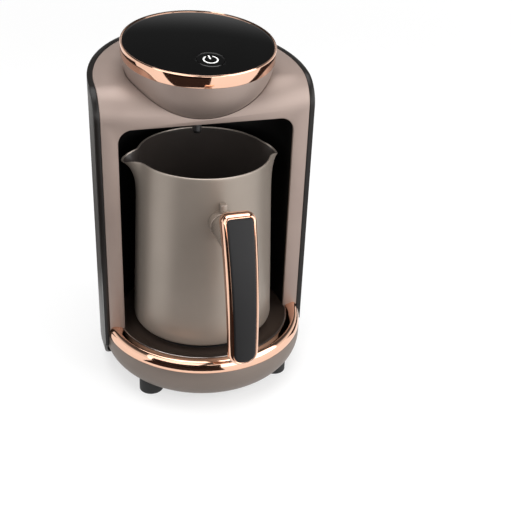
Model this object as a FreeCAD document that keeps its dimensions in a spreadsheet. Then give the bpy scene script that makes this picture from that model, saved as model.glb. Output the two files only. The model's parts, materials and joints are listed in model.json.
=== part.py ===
import FreeCAD, Part
import math
import os
from types import SimpleNamespace

import Sketcher
from FreeCAD import Placement, Rotation, Vector

# Electric turkish coffee maker: a tower with a niche for the pot, a hot plate in the base,
# a round head with a glass top and one button, and a pot with a free-hanging handle.
#
# Everything is drawn about the pot's axis: X to the right, Y to the rear, Z up from the floor.
# Each finished sub-part is then placed so that the whole object's box is centred on the origin.

doc = FreeCAD.newDocument("coffee_maker")

# Driving sizes in millimetres and degrees
SIZES = [
    # Base and feet
    ("foot_height", 5.8, "floor to the underside of the base"),
    ("foot_radius", 8.6, "rubber foot"),
    ("foot_inset", 15.2, "foot centre inside the base bowl's outer edge"),
    ("foot_turn", 36.1, "direction of the feet from the side, in degrees"),
    ("foot_stem", 3.0, "radius of the foot's push-in stem"),
    ("base_radius", 73.7, "outer radius of the base bowl"),
    ("base_height", 27.2, "height of the base bowl"),
    ("base_round", 20.0, "rounding of the bowl's lower edge"),
    ("wall", 2.4, "wall of the moulded shells"),
    ("service_inset", 10.0, "opening under the base, inside the dish's slope"),
    ("cover_lap", 8.0, "how far the bottom cover laps past the opening"),
    ("cover_thickness", 1.6, "bottom cover"),
    ("vent_length", 26.0, "slot in the bottom cover"),
    ("vent_width", 2.5, "slot in the bottom cover"),
    ("vent_pitch", 7.0, "slot spacing"),
    ("screw_radius", 1.5, "shank of the housing screws"),
    ("screw_head", 2.8, "head radius of the housing screws"),
    ("screw_cap", 1.3, "head height of the housing screws"),
    ("screw_boss", 3.5, "boss round a housing screw"),
    ("screw_boss_height", 10.0, "boss round a housing screw"),
    # Copper ring, dish and hot plate
    ("ring_width", 10.1, "copper ring, from its inner to its outer edge"),
    ("ring_lip", 5.7, "inner lip of the ring above the base"),
    ("ring_rise", 8.2, "crest of the ring above the base"),
    ("dish_border", 1.8, "level part of the dish beyond the pot's bottom"),
    ("dish_drop", 3.1, "depth of the dish"),
    ("dish_wall", 2.0, "wall of the dish"),
    ("plate_inset", 7.2, "edge of the hot plate inside the pot's bottom"),
    ("plate_thickness", 5.2, "hot plate"),
    ("plate_rise", 6.4, "top of the hot plate above the base"),
    ("seal_width", 2.2, "heat-proof ring round the hot plate"),
    ("element_inset", 14.0, "centre line of the tubular element inside the plate's edge"),
    ("element_tube", 3.3, "radius of the element's tube"),
    ("terminal_turn", 15.0, "element's terminals from the rear, in degrees"),
    ("pan_depth", 11.5, "steel pan under the hot plate"),
    ("pan_hole", 8.0, "radius of the hole in the pan's middle"),
    ("thermostat_radius", 8.0, "cap of the thermostat"),
    ("thermostat_height", 8.0, "thermostat"),
    ("thermostat_cap", 5.0, "height of the thermostat's cap"),
    ("fuse_half", 7.0, "half length of the thermal fuse"),
    ("fuse_back", 14.0, "thermal fuse behind the pot's axis"),
    ("fuse_width", 6.0, "thermal fuse"),
    ("fuse_height", 4.0, "thermal fuse"),
    ("sheet", 1.2, "sheet steel"),
    # Tower
    ("face_forward", 10.8, "front face ahead of the pot's axis"),
    ("tower_step", 1.7, "base bowl beyond the front face at each side"),
    ("rear_centre", 9.0, "centre of the round back, behind the pot's axis"),
    ("trim_width", 3.8, "gloss band beside the front face"),
    ("trim_depth", 4.0, "gloss band, front to back"),
    ("trim_foot", 25.4, "lower end of the band above the floor"),
    ("rear_wall", 1.9, "wall of the rear shell"),
    ("rear_round", 14.0, "rounding of the rear shell's lower edge"),
    ("rear_heel", 23.0, "rounding of the rear shell's lower front corner"),
    ("corner_rise", 23.5, "height where face and top slope would meet, above the opening"),
    ("top_slope", 10.4, "rise of the top towards the rear, in degrees"),
    ("bend_radius", 20.5, "bend between front face and top"),
    ("skirt_depth", 14.0, "return of the front shell behind its skin"),
    ("column_width", 11.0, "front face beside the opening"),
    ("opening_rise", 23.7, "top of the opening above the pot's rim"),
    ("opening_round", 9.5, "upper corners of the opening"),
    ("liner_gap", 0.4, "liner behind the opening's edge"),
    ("liner_wall", 2.0, "niche liner"),
    # Head
    ("head_back", 16.4, "centre of the head behind the pot's axis"),
    ("head_rise", 48.3, "centre of the head's top above the opening"),
    ("head_tilt", 7.9, "forward tilt of the head, in degrees"),
    ("head_radius", 52.4, "outer radius of the copper band"),
    ("band_height", 8.2, "copper band"),
    ("band_wall", 1.6, "copper band"),
    ("lip_width", 1.5, "lip of the band round the glass"),
    ("bowl_depth", 41.2, "depth of the bowl under the band"),
    ("bowl_cut", 33.3, "depth at which the bowl's floor lies"),
    ("bowl_wall", 2.2, "wall of the bowl"),
    ("bowl_step", 0.8, "bowl inside the band's outer edge"),
    ("spigot_height", 3.2, "spigot of the bowl inside the band"),
    ("post_radius", 3.0, "posts that carry the boards"),
    ("glass_thickness", 3.0, "glass at its edge"),
    ("glass_crown", 2.2, "rise of the glass at its centre"),
    ("neck_radius", 12.0, "collar under the bowl"),
    # Button and sensor
    ("button_forward", 30.6, "button ahead of the glass's centre"),
    ("button_radius", 9.2, "button cap"),
    ("button_gap", 0.3, "gap round the button"),
    ("button_travel", 1.0, "how far the button goes in"),
    ("symbol_radius", 4.6, "centre line of the standby ring"),
    ("symbol_stroke", 1.0, "stroke of the standby sign"),
    ("symbol_gap", 2.2, "half width of the gap in the standby ring"),
    ("sensor_back", 20.0, "sensor behind the pot's axis"),
    ("sensor_radius", 3.3, "sensor tube"),
    ("sensor_point", 2.1, "end radius of the sensor's nose"),
    ("sensor_nose", 2.0, "length of the sensor's nose"),
    ("sensor_drop", 17.7, "tip of the sensor below the top of the opening"),
    # Electronics
    ("control_radius", 42.0, "control board in the head"),
    ("control_drop", 6.8, "control board below the top of the bowl"),
    ("switch_height", 4.8, "body of the push switch"),
    ("plunger_height", 1.0, "plunger of the push switch"),
    ("plunger_gap", 0.2, "between the pressed button's stem and the plunger"),
    ("board_sheet", 1.6, "circuit board"),
    ("board_half", 28.0, "half width of the power board"),
    ("board_low", 68.0, "lower edge of the power board above the floor"),
    ("board_tall", 80.0, "height of the power board"),
    ("board_gap", 2.6, "power board behind the niche liner"),
    ("wire_radius", 1.6, "wiring"),
    ("wire_hole", 22.0, "wire hole behind the head's centre"),
    ("lead_room", 0.8, "space round a lead in its hole"),
    ("gland_height", 36.0, "cord gland above the floor"),
    ("gland_radius", 6.0, "barrel of the cord gland"),
    ("gland_lip", 2.0, "flange of the gland beyond its barrel"),
    ("gland_proud", 1.8, "gland behind the rear shell"),
    ("cord_hole", 3.4, "hole for the mains lead"),
    # Pot
    ("pot_height", 129.0, "bottom to rim"),
    ("pot_room", 9.8, "space beside the pot's bottom in the opening"),
    ("pot_taper", 4.7, "how much narrower the rim is than the bottom, in radius"),
    ("pot_wall", 1.2, "wall of the pot"),
    ("pot_round", 3.0, "rounding of the pot's bottom edge"),
    ("spout_reach", 8.6, "how far each spout stands out at the rim"),
    ("spout_width", 13.0, "spread of a spout along the rim"),
    ("spout_start", 42.0, "length of wall over which a spout grows"),
    # Handle
    ("boss_drop", 31.4, "centre of the boss below the pot's rim"),
    ("boss_radius", 9.2, "boss on the pot"),
    ("boss_stand", 1.8, "face of the boss ahead of the pot's bottom edge"),
    ("stem_radius", 8.7, "stem between boss and handle"),
    ("stem_gap", 0.3, "seam between boss and stem"),
    ("stud_radius", 3.0, "stud inside the stem"),
    ("stud_length", 9.0, "stud inside the stem"),
    ("tab_width", 4.4, "tab above the boss"),
    ("tab_rise", 14.6, "top of the tab above the boss's centre"),
    ("tab_step", 0.6, "front of the tab behind the boss's face"),
    ("handle_stand", 35.3, "front of the handle's top ahead of the boss's face"),
    ("handle_rise", 25.7, "top of the handle above the boss's centre"),
    ("handle_lean", 12.0, "lean of the handle away from the pot, in degrees"),
    ("handle_length", 102.6, "handle"),
    ("handle_top", 11.6, "half width at the top"),
    ("handle_end", 9.7, "half width at the lower end"),
    ("handle_depth", 10.9, "handle, front to back"),
    ("handle_corner", 5.5, "upper corners of the handle"),
    ("handle_tip", 8.6, "lower corners of the handle"),
    ("border", 2.8, "copper border round the inlay"),
    ("inlay_depth", 3.0, "depth of the inlay's pocket"),
    ("inlay_proud", 0.6, "inlay above its border"),
    # Clearances
    ("fit_gap", 0.1, "between pieces that are fixed together"),
    ("shell_gap", 0.3, "between large shells"),
]


class Dim:
    """A size with its number and the formula that the document binds to."""

    def __init__(self, value, text):
        self.value = value
        self.text = text

    def __float__(self):
        return float(self.value)

    def __neg__(self):
        return joined(-1, "*", self, -self.value)

    def __add__(self, other):
        return joined(self, "+", other, self.value + float(other))

    def __radd__(self, other):
        return joined(other, "+", self, float(other) + self.value)

    def __sub__(self, other):
        return joined(self, "-", other, self.value - float(other))

    def __rsub__(self, other):
        return joined(other, "-", self, float(other) - self.value)

    def __mul__(self, other):
        return joined(self, "*", other, self.value * float(other))

    def __rmul__(self, other):
        return joined(other, "*", self, float(other) * self.value)

    def __truediv__(self, other):
        return joined(self, "/", other, self.value / float(other))

    def __rtruediv__(self, other):
        return joined(other, "/", self, float(other) / self.value)


def formula(item):
    """The text of a size or a plain number inside a formula."""
    return item.text if isinstance(item, Dim) else "(%.10g)" % item


def joined(left, sign, right, value):
    return Dim(value, "(%s %s %s)" % (formula(left), sign, formula(right)))


def tangent(item):
    return Dim(math.tan(math.radians(float(item))), "tan(%s)" % formula(item))


def cosine(item):
    return Dim(math.cos(math.radians(float(item))), "cos(%s)" % formula(item))


def sine(item):
    return Dim(math.sin(math.radians(float(item))), "sin(%s)" % formula(item))


sheet = doc.addObject("Spreadsheet::Sheet", "Sizes")
size = SimpleNamespace()
for row, (alias, number, note) in enumerate(SIZES, 1):
    sheet.set("A%d" % row, alias)
    sheet.set("B%d" % row, str(number))
    sheet.set("C%d" % row, note)
    sheet.setAlias("B%d" % row, alias)
    setattr(size, alias, Dim(number, "Sizes." + alias))
doc.recompute()

# Sizes that follow from others, so that the base, tower, niche, pot and handle keep together
base_low = size.foot_height
base_top = size.foot_height + size.base_height
plate_top = base_top + size.plate_rise
rim_height = plate_top + size.pot_height
size.ring_inner = size.base_radius - size.ring_width
size.tower_half = size.base_radius - size.tower_step
size.opening_half = size.tower_half - size.column_width
size.pot_bottom = size.opening_half - size.pot_room
size.pot_rim = size.pot_bottom - size.pot_taper
size.plate_radius = size.pot_bottom - size.plate_inset
size.element_radius = size.plate_radius - size.element_inset
size.dish_floor = size.pot_bottom + size.dish_border
size.service_radius = size.dish_floor - size.service_inset
size.foot_across = (size.base_radius - size.foot_inset) * cosine(size.foot_turn)
size.foot_along = (size.base_radius - size.foot_inset) * sine(size.foot_turn)
size.opening_top = rim_height + size.opening_rise
size.corner_height = size.opening_top + size.corner_rise
size.head_height = size.opening_top + size.head_rise
size.sensor_tip = size.opening_top - size.sensor_drop
size.boss_height = rim_height - size.boss_drop
size.boss_reach = size.pot_bottom + size.boss_stand
size.tab_top = size.boss_height + size.tab_rise
size.tab_reach = size.boss_reach - size.tab_step
size.handle_forward = size.boss_reach + size.handle_stand
size.handle_height = size.boss_height + size.handle_rise

# Worked-out places
dish_edge = base_top + size.ring_lip
dish_level = dish_edge - size.dish_drop
plate_low = plate_top - size.plate_thickness
dish_hole = size.plate_radius + size.seal_width
dish_under = dish_level - size.dish_wall
pan_low = dish_under - size.pan_depth
face = -size.face_forward
face_inside = face + size.wall
thermostat_low = plate_low - size.thermostat_height
terminal_across = size.element_radius * sine(size.terminal_turn)
terminal_back = size.element_radius * cosine(size.terminal_turn)
liner_half = size.opening_half + size.liner_gap
liner_outer = liner_half + size.liner_wall
size.board_back = liner_outer + size.board_gap
liner_front = face_inside + size.fit_gap
terminal_low = pan_low + size.sheet + 1
lead_radius = size.wire_radius * 0.75
lead_back = liner_outer + lead_radius + 1.3
roof_low = size.opening_top + size.shell_gap
roof_top = roof_low + size.liner_wall
tower_outer = size.tower_half + size.trim_width
rear_inner = tower_outer - size.rear_wall
gland_flange = size.gland_radius + size.gland_lip
gland_face = size.rear_centre + tower_outer + size.gland_proud

# The head's band, glass and bowl, measured along its own tilted axis
glass_radius = size.head_radius - size.lip_width
band_inner = size.head_radius - size.band_wall
ledge_top = -size.glass_thickness - size.fit_gap
bowl_top = -size.band_height
bowl_radius = size.head_radius - size.bowl_step
bowl_floor = bowl_top - size.bowl_cut
bowl_inside = bowl_floor + size.bowl_wall
control_level = bowl_top - size.control_drop
crown_radius = (glass_radius * glass_radius / size.glass_crown + size.glass_crown) / 2

# The object's box, front to back, and the shift that centres it
lean = size.handle_lean
handle_reach = size.handle_forward + size.inlay_proud + size.handle_length * sine(lean)
pot_y = (handle_reach - gland_face) / 2

ACROSS = Vector(1, 0, 0)
UPWARDS = Vector(0, 0, 1)
SIGNS = (-1, 1)


def bind(item, prop, value):
    """Sets a property to a number, or binds it to a size's formula."""
    if isinstance(value, Dim):
        item.setExpression(prop, value.text)
    else:
        setattr(item, prop, value)


def place(item, x=0, y=0, z=0, axis=None, angle=0):
    """Puts an item at x, y, z, turned by a positive angle about an axis."""
    turn = Rotation(axis, float(angle)) if axis else Rotation()
    item.Placement = Placement(Vector(float(x), float(y), float(z)), turn)
    for letter, value in zip("xyz", (x, y, z)):
        if isinstance(value, Dim):
            item.setExpression("Placement.Base." + letter, value.text)
    if isinstance(angle, Dim):
        item.setExpression("Placement.Rotation.Angle", angle.text)
    return item


def in_head(item, shift=0):
    """Places an item that was drawn on the head's own axis."""
    return place(item, 0, shift + size.head_back, size.head_height, ACROSS, size.head_tilt)


def in_handle(item, shift=0):
    """Places an item that was drawn on the handle's own front face."""
    back = shift - size.handle_forward
    return place(item, 0, back, size.handle_height, -ACROSS, size.handle_lean)


def at_pot(item, shift=0):
    """Places an item that was drawn about the pot's axis."""
    return place(item, 0, shift, 0)


def box(name, x0, x1, y0, y1, z0, z1):
    item = doc.addObject("Part::Box", name)
    for prop, low, high in (("Length", x0, x1), ("Width", y0, y1), ("Height", z0, z1)):
        bind(item, prop, high - low)
    return place(item, x0, y0, z0)


def cylinder(name, radius, z0, z1, x=0, y=0):
    item = doc.addObject("Part::Cylinder", name)
    bind(item, "Radius", radius)
    bind(item, "Height", z1 - z0)
    return place(item, x, y, z0)


def rod(name, radius, y0, y1, x=0, z=0):
    """A cylinder that runs from front to rear."""
    item = doc.addObject("Part::Cylinder", name)
    bind(item, "Radius", radius)
    bind(item, "Height", y1 - y0)
    return place(item, x, y0, z, -ACROSS, 90)


def ellipsoid(name, radius, depth, z):
    item = doc.addObject("Part::Ellipsoid", name)
    bind(item, "Radius1", depth)
    bind(item, "Radius2", radius)
    bind(item, "Radius3", radius)
    return place(item, 0, 0, z)


def fuse(name, *items):
    item = doc.addObject("Part::MultiFuse", name)
    item.Shapes = list(items)
    return item


def common(name, *items):
    item = doc.addObject("Part::MultiCommon", name)
    item.Shapes = list(items)
    return item


def cut(name, base, *tools):
    item = doc.addObject("Part::Cut", name)
    item.Base = base
    item.Tool = tools[0] if len(tools) == 1 else fuse(name + "_tools", *tools)
    return item


def group(name, *items):
    """Several solids held together, so that they can be placed as one."""
    item = doc.addObject("Part::Compound", name)
    item.Links = list(items)
    return item


def origin_plane(body, role):
    return [item for item in body.Origin.OriginFeatures if item.Role == role][0]


def outline(body, plane, corners, level=0):
    """A closed sketch through corners, each held by two bound distances."""
    sketch = body.newObject("Sketcher::SketchObject", body.Name + "_outline")
    sketch.AttachmentSupport = [(origin_plane(body, plane), "")]
    sketch.MapMode = "FlatFace"
    if isinstance(level, Dim):
        sketch.setExpression("AttachmentOffset.Base.z", level.text)
    points = [Vector(float(a), float(b), 0) for a, b in corners]
    count = len(points)
    for index in range(count):
        edge = Part.LineSegment(points[index], points[(index + 1) % count])
        sketch.addGeometry(edge, False)
    for index, corner in enumerate(corners):
        following = (index + 1) % count
        sketch.addConstraint(Sketcher.Constraint("Coincident", index, 2, following, 1))
        for kind, value in zip(("DistanceX", "DistanceY"), corner):
            held = Sketcher.Constraint(kind, -1, 1, index, 1, float(value))
            number = sketch.addConstraint(held)
            if isinstance(value, Dim):
                sketch.setExpression("Constraints[%d]" % number, value.text)
    return sketch


def revolved(name, corners):
    """A body turned about Z from a half section of (radius, height) corners."""
    body = doc.addObject("PartDesign::Body", name)
    turned = body.newObject("PartDesign::Revolution", name + "_turned")
    turned.Profile = outline(body, "XZ_Plane", corners)
    turned.ReferenceAxis = (turned.Profile[0], ["V_Axis"])
    turned.Angle = 360
    return body


def extruded(name, plane, corners, length, side="One side", back=False, level=0):
    """A body pushed out from a flat outline."""
    body = doc.addObject("PartDesign::Body", name)
    pad = body.newObject("PartDesign::Pad", name + "_pad")
    pad.Profile = outline(body, plane, corners, level)
    bind(pad, "Length", length)
    pad.SideType = side
    pad.Reversed = back
    return body


def soften(body, radius, wanted):
    """Rounds the edges of a body that the test picks."""
    doc.recompute()
    base = body.Tip
    names = ["Edge%d" % (i + 1) for i, edge in enumerate(base.Shape.Edges) if wanted(edge)]
    round_off = body.newObject("PartDesign::Fillet", body.Name + "_round")
    round_off.Base = (base, names)
    bind(round_off, "Radius", radius)
    doc.recompute()
    return body


def level_edge(height):
    """Picks the edges that lie flat at one height."""
    def test(edge):
        low, high = edge.BoundBox.ZMin, edge.BoundBox.ZMax
        return abs(low - float(height)) < 0.01 and abs(high - float(height)) < 0.01
    return test


finished = []


def sub_part(item, label, frame=at_pot):
    """Names a finished sub-part and places it in the object's frame."""
    item.Label = label
    frame(item, pot_y)
    finished.append(item)
    return item


def tube(points, radius, bend):
    """A round wire along straight runs joined by tangent arcs."""
    edges = []
    start = points[0]
    for before, corner, after in zip(points, points[1:], points[2:]):
        inward = (corner - before).normalize()
        outward = (after - corner).normalize()
        half_turn = inward.getAngle(outward) / 2
        reach = bend * math.tan(half_turn)
        first, last = corner - inward * reach, corner + outward * reach
        middle = corner + (outward - inward).normalize() * bend * (1 / math.cos(half_turn) - 1)
        edges.append(Part.LineSegment(start, first).toShape())
        edges.append(Part.Arc(first, middle, last).toShape())
        start = last
    edges.append(Part.LineSegment(start, points[-1]).toShape())
    path = Part.Wire(edges)
    ring = Part.Wire(Part.makeCircle(radius, points[0], points[1] - points[0]))
    return path.makePipeShell([ring], True, False)


def drawn(name, shape):
    """A sub-part whose shape is worked out here from the same sizes."""
    item = doc.addObject("Part::Feature", name)
    item.Shape = shape
    return item


# Base

def bowl_solid(name, grow, top):
    """The filled bowl of the base, grown or shrunk by one distance."""
    radius = size.base_radius + grow
    low = base_low - grow
    corners = [(0, low), (radius, low), (radius, top), (0, top)]
    bowl = revolved(name, corners)
    return soften(bowl, size.base_round + grow, level_edge_outer(low, radius))


def level_edge_outer(height, radius):
    """Picks the flat round edge of one radius at one height."""
    flat = level_edge(height)

    def test(edge):
        round_edge = isinstance(edge.Curve, Part.Circle)
        return flat(edge) and round_edge and abs(edge.Curve.Radius - float(radius)) < 0.01
    return test


bowl_outer = bowl_solid("bowl_outer", 0, base_top)
bowl_inner = bowl_solid("bowl_inner", -size.wall, base_top - size.wall)
bowl_clear = bowl_solid("bowl_clear", size.shell_gap, base_top + size.fit_gap)

cover_radius = size.service_radius + size.cover_lap
screw_circle = size.service_radius + size.cover_lap / 2 + 0.6


def corner_spots(across, along):
    return [(sx * across, sy * along) for sx in SIGNS for sy in SIGNS]


foot_spots = corner_spots(size.foot_across, size.foot_along)
screw_spots = corner_spots(screw_circle * math.sqrt(0.5), screw_circle * math.sqrt(0.5))


def base_shell():
    top_hole = cylinder("base_top_hole", size.dish_floor, base_top - 5, base_top + 1)
    service = cylinder("base_service", size.service_radius, base_low - 1, base_top)
    boss_top = base_low + size.screw_boss_height
    bosses = [cylinder("base_boss", size.screw_boss, base_low - 1, boss_top, x, y)
              for x, y in screw_spots]
    hollow = cut("base_hollow", fuse("base_room", bowl_inner, top_hole, service), *bosses)
    whole = cut("base_hollowed", bowl_outer, hollow)
    holes = [cylinder("base_screw_hole", size.screw_radius, base_low - 1, boss_top - 1, x, y)
             for x, y in screw_spots]
    holes += [cylinder("base_foot_hole", size.foot_stem, base_low - 1, base_top - 5, x, y)
              for x, y in foot_spots]
    holes += [cylinder("base_lead_hole", lead_radius + size.lead_room, base_top - 5, base_top + 1,
                       side * terminal_across, lead_back) for side in SIGNS]
    return cut("base_shell", whole, *holes)


def base_plate():
    """Bottom cover with two rows of vent slots, its screw holes and room for the feet."""
    low, top = base_low - size.cover_thickness, base_low
    plate = revolved("base_cover", [(0, low), (cover_radius, low), (cover_radius, top), (0, top)])
    vents = []
    for side in SIGNS:
        for step in range(-2, 3):
            middle = side * (size.vent_length / 2 + 4)
            x0, x1 = middle - size.vent_length / 2, middle + size.vent_length / 2
            y0 = step * size.vent_pitch - size.vent_width / 2
            vents.append(box("base_vent", x0, x1, y0, y0 + size.vent_width, low - 1, top + 1))
    holes = [cylinder("cover_hole", size.screw_radius + size.fit_gap, low - 1, top + 1, x, y)
             for x, y in screw_spots]
    feet_room = [cylinder("cover_foot_room", size.foot_radius + size.shell_gap, low - 1, top + 1, x, y)
                 for x, y in foot_spots]
    return cut("base_plate", plate, *(vents + holes + feet_room))


def feet():
    """Rubber feet shaped to the bowl, each with a stem pushed through it."""
    pads = [cylinder("foot_pad", size.foot_radius, 0, base_low + 9, x, y) for x, y in foot_spots]
    shaped = cut("feet_shaped", fuse("foot_pads", *pads), bowl_outer)
    stems = [cylinder("foot_shank", size.foot_stem - size.fit_gap / 2, 1, base_low + 9, x, y)
             for x, y in foot_spots]
    return fuse("feet", shaped, *stems)


def base_screws():
    low = base_low - size.cover_thickness
    items = []
    for x, y in screw_spots:
        head = cylinder("base_screw_head", size.screw_head, low - size.screw_cap, low, x, y)
        items.append(head)
        shank = size.screw_radius - 0.05
        items.append(cylinder("base_screw_shank", shank, low - size.screw_cap / 2,
                              base_low + size.screw_boss_height - 2, x, y))
    return fuse("base_screws", *items)


def base_ring():
    """Half-round copper ring, cut off where the front shell stands."""
    inner, outer = float(size.ring_inner), float(size.base_radius)
    low, lip = float(base_top), float(dish_edge)
    crest = low + float(size.ring_rise)
    middle = (inner + outer) / 2
    width = outer - inner
    points = [Vector(inner, 0, low), Vector(inner, 0, lip), Vector(middle, 0, crest),
              Vector(outer, 0, low)]
    inside_arc = Part.Arc(points[1], Vector(inner + width * 0.22, 0, crest - 0.7), points[2])
    outside_arc = Part.Arc(points[2], Vector(outer - width * 0.13, 0, low + (crest - low) * 0.62),
                           points[3])
    edges = [Part.LineSegment(points[0], points[1]).toShape(), inside_arc.toShape(),
             outside_arc.toShape(), Part.LineSegment(points[3], points[0]).toShape()]
    section = Part.Face(Part.Wire(edges))
    ring = drawn("ring_whole", section.revolve(Vector(), Vector(0, 0, 1), 360))
    reach = size.base_radius + 5
    behind = box("ring_behind", -reach, reach, face - size.fit_gap, reach, base_low,
                 base_top + size.ring_rise + 1)
    return cut("base_ring", ring, behind)


def pot_dish():
    edge = size.ring_inner - size.fit_gap
    slope_inside = edge - size.dish_wall
    corners = [
        (dish_hole, dish_level), (size.dish_floor, dish_level), (edge, dish_edge),
        (edge, base_top), (slope_inside, base_top), (slope_inside, dish_edge - size.dish_wall - 0.8),
        (size.dish_floor + 0.3, dish_under), (dish_hole, dish_under),
    ]
    return revolved("pot_dish", corners)


def plate_seal():
    inner, outer = size.plate_radius + size.fit_gap, dish_hole - size.fit_gap
    corners = [(inner, dish_under), (outer, dish_under), (outer, dish_level + 0.8),
               (inner, dish_level + 0.8)]
    return revolved("plate_seal", corners)


def heating_plate():
    edge = size.plate_radius
    corners = [(0, plate_low), (edge, plate_low), (edge, plate_top - 1), (edge - 1, plate_top),
               (0, plate_top)]
    return revolved("heating_plate", corners)


def heating_element():
    """Open tubular ring under the plate with two terminals."""
    middle = plate_low - size.element_tube
    loop = doc.addObject("Part::Torus", "element_loop")
    bind(loop, "Radius1", size.element_radius)
    bind(loop, "Radius2", size.element_tube)
    bind(loop, "Angle3", 360 - size.terminal_turn * 2)
    place(loop, 0, 0, middle, UPWARDS, 90 + size.terminal_turn)
    ends = [cylinder("element_end", size.element_tube * 0.6, terminal_low, middle,
                     side * terminal_across, terminal_back) for side in SIGNS]
    return fuse("heating_element", loop, *ends)


def heater_pan():
    outer = dish_hole + size.sheet + 0.4
    inner = outer - size.sheet
    hole = size.pan_hole
    corners = [(hole, pan_low), (outer, pan_low), (outer, dish_under), (inner, dish_under),
               (inner, pan_low + size.sheet), (hole, pan_low + size.sheet)]
    holes = [cylinder("pan_lead_hole", lead_radius + size.lead_room, pan_low - 1, pan_low + 3,
                      side * terminal_across, terminal_back) for side in SIGNS]
    return cut("heater_pan", revolved("pan_pressed", corners), *holes)


def thermostat():
    step = plate_low - size.thermostat_cap
    cap = cylinder("thermostat_cap", size.thermostat_radius, step, plate_low)
    foot = cylinder("thermostat_foot", size.thermostat_radius - 3, thermostat_low, step)
    return fuse("thermostat", cap, foot)


def thermal_fuse():
    front = size.fuse_back
    return group("thermal_fuse", box("fuse_body", -size.fuse_half, size.fuse_half, front,
                                     front + size.fuse_width, plate_low - size.fuse_height, plate_low))


# Tower

def tower_solid(name, grow, low, rounding=None):
    """The tower's plan, straight sides and a round back, grown by one distance."""
    half = size.tower_half + grow
    body = doc.addObject("PartDesign::Body", name)
    tall = size.head_height - low
    sides = body.newObject("PartDesign::AdditiveBox", name + "_sides")
    bind(sides, "Length", half * 2)
    bind(sides, "Width", size.rear_centre + size.face_forward)
    bind(sides, "Height", tall)
    place(sides, -half, face, low)
    back = body.newObject("PartDesign::AdditiveCylinder", name + "_back")
    bind(back, "Radius", half)
    bind(back, "Height", tall)
    back.Angle = 180
    place(back, 0, size.rear_centre, low)
    if rounding is None:
        return body

    def lower_edge(edge):
        ahead = edge.BoundBox.YMax < float(face) + 0.01
        return level_edge(low)(edge) and not ahead
    return soften(body, rounding, lower_edge)


def side_profile(name, inset, low, heel=None):
    """The tower seen from the side: front face, bend and sloping top, moved inwards."""
    front = face + inset
    slope = tangent(size.top_slope)
    corner = size.corner_height - inset / cosine(size.top_slope) + inset * slope
    back = size.rear_centre + tower_outer + 10
    corners = [(front, low), (front, corner), (back, corner + (back - front) * slope), (back, low)]
    width = (tower_outer + 10) * 2
    profile = extruded(name, "YZ_Plane", corners, width, side="Symmetric")

    def bend(edge):
        box_of = edge.BoundBox
        return abs(box_of.YMax - float(front)) < 0.01 and box_of.ZMin > float(corner) - 1
    soften(profile, size.bend_radius - inset, bend)
    if heel is not None:
        def lower_front(edge):
            box_of = edge.BoundBox
            return abs(box_of.YMax - float(front)) < 0.01 and box_of.ZMax < float(low) + 0.01
        soften(profile, heel, lower_front)
    return profile


def opening_solid():
    body = doc.addObject("PartDesign::Body", "opening")
    low = base_low
    block = body.newObject("PartDesign::AdditiveBox", "opening_block")
    bind(block, "Length", size.opening_half * 2)
    bind(block, "Width", size.face_forward)
    bind(block, "Height", size.opening_top - low)
    place(block, -size.opening_half, face - 4, low)

    def upper_corner(edge):
        flat = edge.BoundBox.ZMin > float(size.opening_top) - 0.01
        return flat and edge.BoundBox.XLength < 0.01
    return soften(body, size.opening_round, upper_corner)


def head_envelope():
    """The filled bowl of the head with the gap that the front shell leaves round it."""
    filled = ellipsoid("envelope_bowl", bowl_radius + size.shell_gap,
                       size.bowl_depth + size.shell_gap, bowl_top)
    upper = cylinder("envelope_top", size.head_radius + size.shell_gap, bowl_top, bowl_top + 40)
    return in_head(fuse("head_envelope", filled, upper))


envelope = head_envelope()


def front_shell():
    outside = common("front_outside", tower_solid("front_plan", 0, base_top),
                     side_profile("front_side", 0, base_top))
    inside = common("front_inside", tower_solid("front_plan_inside", -size.wall, base_top - 1),
                    side_profile("front_side_inside", size.wall, base_top - 1))
    deep = side_profile("front_side_deep", size.skirt_depth, base_top - 2)
    dish_room = cylinder("front_dish_room", size.ring_inner + size.fit_gap, base_top - 1,
                         dish_edge + size.fit_gap)
    return cut("front_shell", outside, inside, deep, opening_solid(), envelope, dish_room)


def trim_band():
    outside = common("trim_outside", tower_solid("trim_plan", size.trim_width, size.trim_foot),
                     side_profile("trim_side", 0, size.trim_foot))
    core = tower_solid("trim_core", size.fit_gap, base_low)
    deep = side_profile("trim_side_deep", size.trim_depth, base_low)
    return cut("trim_band", outside, core, deep, bowl_clear)


def rear_shell():
    inset = size.trim_depth + size.fit_gap
    plan = tower_solid("rear_plan", size.trim_width, base_low, size.rear_round)
    outside = common("rear_outside", plan, side_profile("rear_side", inset, base_low, size.rear_heel))
    thin = size.trim_width - size.rear_wall
    inside = tower_solid("rear_plan_inside", thin, base_low + size.rear_wall,
                         size.rear_round - size.rear_wall)
    gland = rod("rear_gland_hole", size.gland_radius + size.fit_gap, size.rear_centre + 40,
                gland_face + 1, 0, size.gland_height)
    vents = []
    for step in range(6):
        level = size.board_low + step * size.vent_pitch
        vents.append(box("rear_vent", -size.vent_length, size.vent_length, size.rear_centre + 40,
                         gland_face, level, level + size.vent_width))
    feet_room = [cylinder("rear_foot_room", size.foot_radius + size.shell_gap, 0, base_low + 10, x, y)
                 for x, y in foot_spots]
    return cut("rear_shell", outside, inside, bowl_clear, gland, *(vents + feet_room))


def liner_solid(name, half, top, low):
    """U-shaped plan of the niche: straight sides ahead of a half circle."""
    sides = box(name + "_sides", -half, half, liner_front, 0, low, top)
    back = cylinder(name + "_back", half, low, top)
    ahead = box(name + "_ahead", -half, half, -half, liner_front, low - 1, top + 1)
    return cut(name, fuse(name + "_whole", sides, back), ahead)


liner_low = dish_edge + size.fit_gap
liner_block = liner_solid("liner_block", liner_outer, roof_top, liner_low)


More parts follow.
